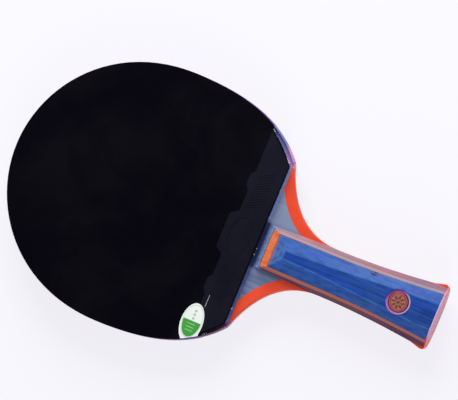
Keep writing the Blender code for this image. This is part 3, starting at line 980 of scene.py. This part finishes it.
def bar(shape, centre, size, turn):
    """A low bar with rounded long edges."""
    place = Matrix.Translation(centre) @ Matrix.Rotation(turn, 4, "Z")
    made = bmesh.ops.create_cube(shape, size=1.0, matrix=place @ Matrix.Diagonal((*size, 1)))
    edges = {edge for vert in made["verts"] for edge in vert.link_edges}
    rounded(shape, [edge for edge in edges if is_level(edge)], size[2] * 0.3, 1)


def oval_ring(shape, centre, half_axes, thickness):
    """A round bar bent into an oval."""
    start = bmesh.ops.create_circle(shape, segments=8, radius=thickness, cap_ends=False)["verts"]
    upright = Matrix.Translation((half_axes[1], 0, 0)) @ Matrix.Rotation(math.pi / 2, 4, "X")
    bmesh.ops.transform(shape, matrix=upright, verts=start)
    edges = list({edge for vert in start for edge in vert.link_edges})
    before = set(shape.verts) - set(start)
    whole_turn = {"cent": (0, 0, 0), "axis": (0, 0, 1), "angle": 2 * math.pi}
    bmesh.ops.spin(shape, geom=start + edges, steps=64, use_merge=True, **whole_turn)
    ring = [vert for vert in shape.verts if vert not in before]
    squeeze = Matrix.Diagonal((half_axes[0] / half_axes[1], 1, 1, 1))
    bmesh.ops.transform(shape, matrix=Matrix.Translation(centre) @ squeeze, verts=ring)


def moulded_band(side, finish, slot):
    """The band with its relief: slanting ribs on both halves, and an oval of small pyramids."""
    node = side + "_topsheet"
    top = heights(node)[1]
    outwards = math.copysign(1, top - MIDDLE)
    shape = band_field(node, top, outwards)
    face = top + outwards * BAND_RELIEF
    for half in (-1, 1):
        for index in range(RIB_COUNT):
            across = half * (RIB_START + RIB_SPACING * index)
            bar(shape, Vector((TIP + RIB_STATION, across, face)), RIB_SIZE, half * RIB_SLANT)
    upright = Matrix.Rotation(0.0 if outwards > 0 else math.pi, 4, "X")
    half_length, half_width = KNURL_HALF_AXES
    for row in range(-3, 4):
        for column in range(-8, 9):
            x = row * KNURL_SPACING
            y = (column + row % 2 / 2) * KNURL_SPACING
            if (x / half_length) ** 2 + (y / half_width) ** 2 <= 1:
                place = (TIP + KNURL_STATION + x, y, face + outwards * RELIEF / 2)
                peg(shape, Matrix.Translation(place) @ upright, RELIEF, *KNURL_RADII, 4)
    centre = Vector((TIP + KNURL_STATION, 0, face))
    oval_ring(shape, centre, KNURL_RING_HALF_AXES, RELIEF)
    add_piece(side + "_moulded_band", shape, [finish], slot, node)


def rubbers():
    # The second finish of each sheet holds its pale flecks, which are painted highlights.
    foam, glue = blue_sponge(), glint_flecks()
    black = rubber("black_rubber_skin", (3, 2, 8), (10, 9, 15), 0.02)
    smooth_black = rubber("black_moulded_rubber", (15, 15, 26), (22, 22, 34), 0.04)
    red = rubber("red_rubber_skin", (176, 18, 24), (192, 30, 34), 0.15)
    smooth_red = rubber("red_moulded_rubber", (160, 14, 20), (178, 24, 28), 0.3)
    for side, skin, smooth, slot in (
        ("front", black, smooth_black, "black_rubber"),
        ("rear", red, smooth_red, "red_rubber"),
    ):
        sponge(side, foam)
        sheet(side, [skin, glue], slot)
        pips(side, skin, slot)
        moulded_band(side, smooth, slot)


def scale_layer(side, layer, under):
    """A layer of a handle scale, brought down onto the piece under it and back to the cap."""
    node = side + "_scale_" + layer
    shape = copied(node)
    lay_on(shape, node, under)
    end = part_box(node)[1].x
    move_level(shape, 0, end, end + GLUE_GAP + CAP_THINNING + SEAT)
    return shape


def flush_base(side):
    """The base of a scale, its foot sanded flush with the frame."""
    shape = scale_layer(side, "base", side + "_outer_ply")
    foot = min(abs(vert.co.z - MIDDLE) for vert in shape.verts)
    for vert in shape.verts:
        if abs(abs(vert.co.z - MIDDLE) - foot) < NEAR:
            station = vert.co.x - TIP
            reach = (BEAD - SEAT) * between(station, *BEAD_STATIONS)
            reach -= EAR_SHOW * between(station, *EAR_SHOW_STATIONS)
            vert.co.y += reach * math.copysign(1, vert.co.y)
    return shape


def sink_recess(shape):
    """Cuts the badge's round recess into the front crown, just wide enough for the ring."""
    low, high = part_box("badge_ring")
    radius = (high.x - low.x) / 2 + RECESS_MARGIN
    place = Matrix.Translation(((low.x + high.x) / 2, (low.y + high.y) / 2, high.z))
    cutter = bmesh.new()
    peg(cutter, place, 2 * (high.z - low.z - SEAT), radius, radius, 96)
    blanks = [mesh_object("uncut_top", shape), mesh_object("recess", cutter)]
    cut = blanks[0].modifiers.new("recess", "BOOLEAN")
    cut.operation = "DIFFERENCE"
    cut.solver = "EXACT"
    cut.object = blanks[1]
    shape.clear()
    shape.from_object(blanks[0], bpy.context.evaluated_depsgraph_get())
    for blank in blanks:
        bpy.data.meshes.remove(blank.data)
    cutter.free()


def scale_top(side, finishes):
    """The blue layer, its crown and corners softened and made pale by wear and a painted
    highlight, its slopes a little paler as painted light.

    Both are made from the rear one, which has no recess. The front one is turned over and cut."""
    shape = scale_layer("rear", "top", "rear_scale_veneer")
    top = heights("rear_scale_top")[1]
    # The front and side slopes get paler copies of the blue wood as painted light.
    for face in shape.faces:
        if face.normal.x < -0.1:
            face.material_index = 2
        elif abs(face.normal.y) > 0.1:
            face.material_index = 1
    crown = [e for e in rim_edges(shape, top) if e.calc_face_angle(0.0) < CROWN_ANGLE]
    corners = [
        edge
        for edge in shape.edges
        if edge.calc_face_angle(0.0) > CORNER_ANGLE
        and abs(edge.verts[0].co.z - edge.verts[1].co.z) > NEAR * 10
        and all(face.normal.z * (top - MIDDLE) > 0 for face in edge.link_faces)
    ]
    # The rounded crown and corners get the palest copy: wear and a painted highlight.
    for face in rounded(shape, crown + corners, SCALE_ROUNDING):
        face.material_index = 3
    if side == "front":
        turn_over = Matrix.Translation((0, 0, 2 * MIDDLE)) @ Matrix.Diagonal((1, 1, -1, 1))
        bmesh.ops.transform(shape, matrix=turn_over, verts=shape.verts)
        bmesh.ops.recalc_face_normals(shape, faces=shape.faces)
        sink_recess(shape)
    add_piece(side + "_flush_top", shape, finishes, "blue_wood", side + "_scale_top")


def handle():
    plum, orange = plum_wood(), orange_wood()
    along, across = (0.09, 0.0030, 0.0030), (0.0016, 0.02, 0.0030)
    # One blue wood in four copies, paler on the slopes and edges as wear and painted light.
    blues = [
        blue_wood("blue_crown", 0.06, along),
        blue_wood("blue_side_slope", 0.26, along),
        blue_wood("blue_front_slope", 0.42, across, (104, 136, 184), seam=True),
        blue_wood("blue_edge_wear_and_highlight", 0.45, along),
    ]
    for side in ("front", "rear"):
        base, veneer = side + "_scale_base", side + "_scale_veneer"
        add_piece(side + "_flush_base", flush_base(side), [plum], "plum_wood", base)
        layer = scale_layer(side, "veneer", base)
        add_piece(side + "_flush_veneer", layer, [orange], "orange_wood", veneer)
        scale_top(side, blues)


def badge():
    """A ring with a groove round its face, and a disc with a rosette in enamel."""
    shape = copied("badge_ring")
    top = heights("badge_ring")[1]
    face = [face for face in shape.faces if is_at(face, 2, top)]
    groove = {"thickness": GROOVE_EDGE, "depth": -GROOVE_DEPTH, "use_even_offset": True}
    bmesh.ops.inset_region(shape, faces=face, **groove)
    rims = [
        edge
        for edge in shape.edges
        if is_at(edge, 2, top) and any(is_upright(face) for face in edge.link_faces)
    ]
    rounded(shape, rims, RING_ROUNDING)
    add_piece("grooved_badge_ring", shape, [pink_metal()], "pink_metal", "badge_ring")
    shape = copied("badge_disc")
    centre = centre_of("badge_disc")
    centre.z = heights("badge_disc")[1]
    rounded(shape, rim_edges(shape, centre.z), DISC_ROUNDING)
    add_piece("brushed_badge_disc", shape, [gold_metal()], "gold_metal", "badge_disc")
    shape = bmesh.new()
    middle = Matrix.Translation(centre)
    oval_ring(shape, centre, (ROSETTE_RADIUS, ROSETTE_RADIUS), ROSETTE_RING_THICKNESS)
    petal = Matrix.Translation((PETAL_PLACE, 0, 0)) @ Matrix.Diagonal((*PETAL_SIZE, 1))
    for index in range(PETAL_COUNT):
        turn = Matrix.Rotation(2 * math.pi * index / PETAL_COUNT, 4, "Z")
        lump(shape, middle @ turn @ petal)
    lump(shape, middle @ Matrix.Diagonal((*BUTTON_SIZE, 1)), 3)
    add_piece("enamel_rosette", shape, [red_enamel()], "gold_metal", "badge_disc")


def label():
    """The printed label, stuck down flat on the sheet."""
    shape = copied("oval_label")
    rim = rim_of("front_topsheet")
    for vert in shape.verts:
        nearest, normal, _, _ = rim.find_nearest(vert.co)
        if (vert.co - nearest).xy.length < LABEL_MARGIN:
            vert.co += RIM_SPREAD * normal
    drop = GLUE_GAP + SEAT
    bmesh.ops.translate(shape, verts=shape.verts, vec=(0, 0, -drop))
    rounded(shape, rim_edges(shape, heights("oval_label")[1] - drop), LABEL_ROUNDING)
    add_piece("stuck_oval_label", shape, [label_print()], "label_vinyl", "oval_label")


def camera():
    data = bpy.data.cameras.new("photographers_lens")
    view_width = VIEW_PIXELS_ACROSS * VIEW_METRES_PER_PIXEL
    data.lens = data.sensor_width * VIEW_DISTANCE / view_width
    data.clip_end = 100.0
    made = put_in_scene("photographers_view", data)
    turned = Matrix.Rotation(VIEW_TILT, 4, "Y") @ Matrix.Rotation(VIEW_TURN, 4, "Z")
    away = VIEW_DISTANCE * (turned @ Vector((0, 0, 1)))
    made.matrix_world = Matrix.Translation(VIEW_TARGET + away) @ turned
    bpy.context.scene.camera = made


def softbox(name, turn, elevation, power):
    """A square area light, seen from the racket at this turn from +X and this elevation."""
    data = bpy.data.lights.new(name, "AREA")
    data.size = SOFTBOX_SIZE
    data.energy = power
    made = put_in_scene(name, data)
    level = math.cos(elevation)
    direction = Vector((level * math.cos(turn), level * math.sin(turn), math.sin(elevation)))
    made.location = VIEW_TARGET + SOFTBOX_DISTANCE * direction
    made.rotation_euler = direction.to_track_quat("Z", "Y").to_euler()


def seen_directly(tree):
    """A share that is one for what the camera, a reflection or a clear piece shows."""
    path = tree.nodes.new("ShaderNodeLightPath")
    share = path.outputs["Is Camera Ray"]
    for ray in ("Is Glossy Ray", "Is Transmission Ray"):
        largest = tree.nodes.new("ShaderNodeMath")
        largest.operation = "MAXIMUM"
        tree.links.new(share, largest.inputs[0])
        tree.links.new(path.outputs[ray], largest.inputs[1])
        share = largest.outputs[0]
    return share


def studio():
    """Even light from all round, a softbox at the picture's top and a weaker one at its foot."""
    world = bpy.data.worlds.new("studio")
    bpy.context.scene.world = world
    world.use_nodes = True
    tree = world.node_tree
    background = tree.nodes["Background"]
    background.inputs["Color"].default_value = (1, 1, 1, 1)
    background.inputs["Strength"].default_value = ROOM_LIGHT
    backdrop = tree.nodes.new("ShaderNodeBackground")
    backdrop.inputs["Color"].default_value = (*WHITE, 1)
    mixed = tree.nodes.new("ShaderNodeMixShader")
    tree.links.new(seen_directly(tree), mixed.inputs[0])
    tree.links.new(background.outputs[0], mixed.inputs[1])
    tree.links.new(backdrop.outputs[0], mixed.inputs[2])
    tree.links.new(mixed.outputs[0], tree.nodes["World Output"].inputs["Surface"])
    softbox("upper_softbox", VIEW_TURN + math.pi / 2, math.radians(28), UPPER_POWER)
    softbox("lower_softbox", VIEW_TURN - math.pi / 2, math.radians(25), LOWER_POWER)


def floor():
    """A pale floor that keeps the racket's soft shadow and melts into the backdrop further out."""
    pale = [value * FLOOR_SHADE for value in WHITE]
    made = Finish("pale_floor", roughness=0.9, specular=0.0, colour=pale)
    out = made.length(made.place(centre=(0, 0, FLOOR)))
    glow = made.node("Emission", {"Color": WHITE, "Strength": 1.0}).outputs[0]
    share = made.times(seen_directly(made.tree), made.fade(out, 0.2, 0.9, 0.84, 1.0))
    mixed = made.node("MixShader", {0: share, 1: made.shader.outputs[0], 2: glow}).outputs[0]
    made.tree.links.new(mixed, made.tree.nodes["Material Output"].inputs["Surface"])
    shape = bmesh.new()
    place = Matrix.Translation((0, 0, FLOOR))
    bmesh.ops.create_grid(shape, x_segments=8, y_segments=8, size=FLOOR_SIZE, matrix=place)
    plane = mesh_object("floor", shape)
    shape.free()
    plane.data.materials.append(made.material)


bpy.context.scene.view_settings.view_transform = "Standard"
camera()
studio()
floor()
plies()
grip_frame()
tape()
rubbers()
handle()
badge()
label()
